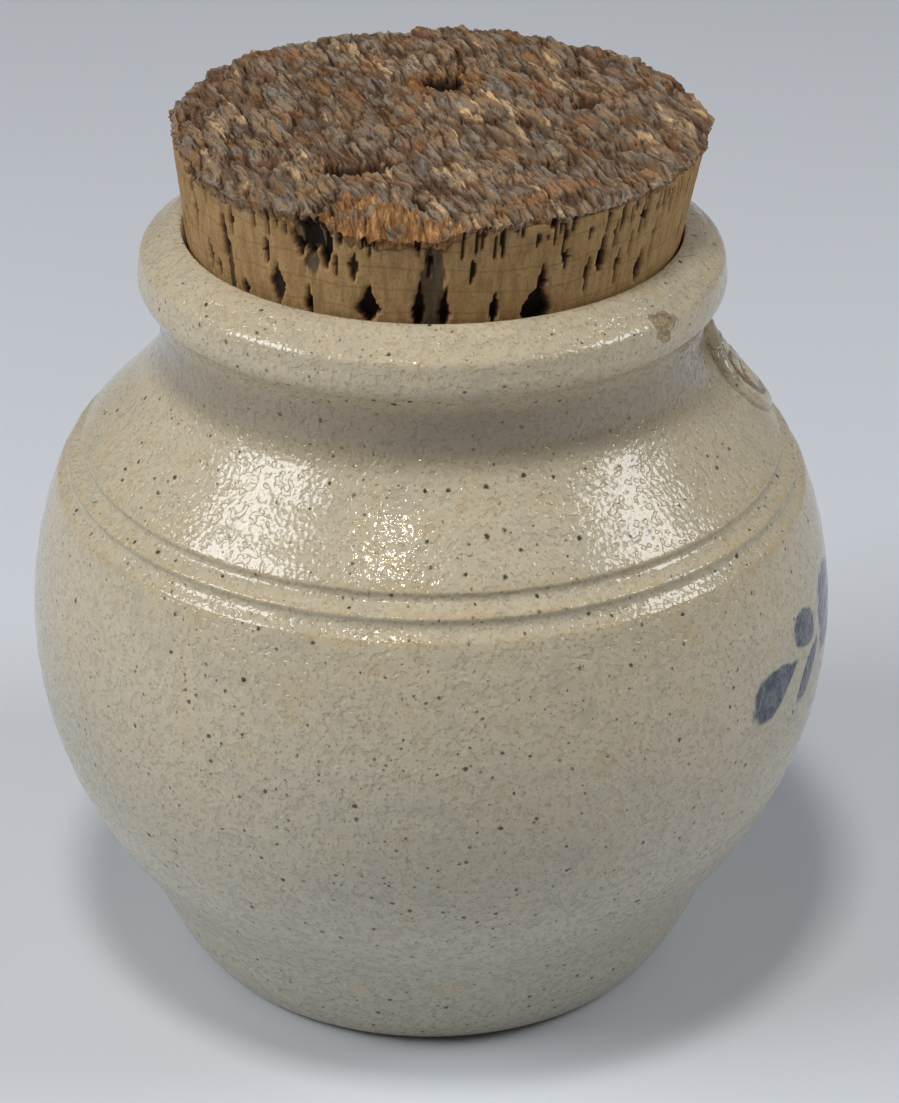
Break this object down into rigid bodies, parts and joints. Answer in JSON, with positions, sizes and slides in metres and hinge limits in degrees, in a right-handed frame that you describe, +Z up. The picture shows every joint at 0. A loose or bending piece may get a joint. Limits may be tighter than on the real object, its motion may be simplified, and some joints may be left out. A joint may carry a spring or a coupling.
{
  "type": "stoneware crock with cork stopper",
  "caption": "Squat round-bellied salt-glazed stoneware crock with a rolled rim, turned shoulder grooves and a clay medallion, shut with a bark-topped cork stopper.",
  "frame": {"origin": "middle of the foot's underside, on the surface that the crock stands on", "axes": "+Z up along the crock's axis; +X towards the medallion and the brushed sprig; -Y towards the plain side that the picture shows"},
  "size_m": [0.124, 0.124, 0.1389],
  "materials": {
    "glazed_stoneware": "salt glaze, grey-beige, dimpled like orange peel, with iron specks and cobalt brush strokes",
    "natural_cork": "bare natural cork with a grey-brown bark top and dark lenticels"
  },
  "bodies": {
    "root": {"crock": "glazed_stoneware", "cork": "natural_cork"}
  },
  "joints": []
}
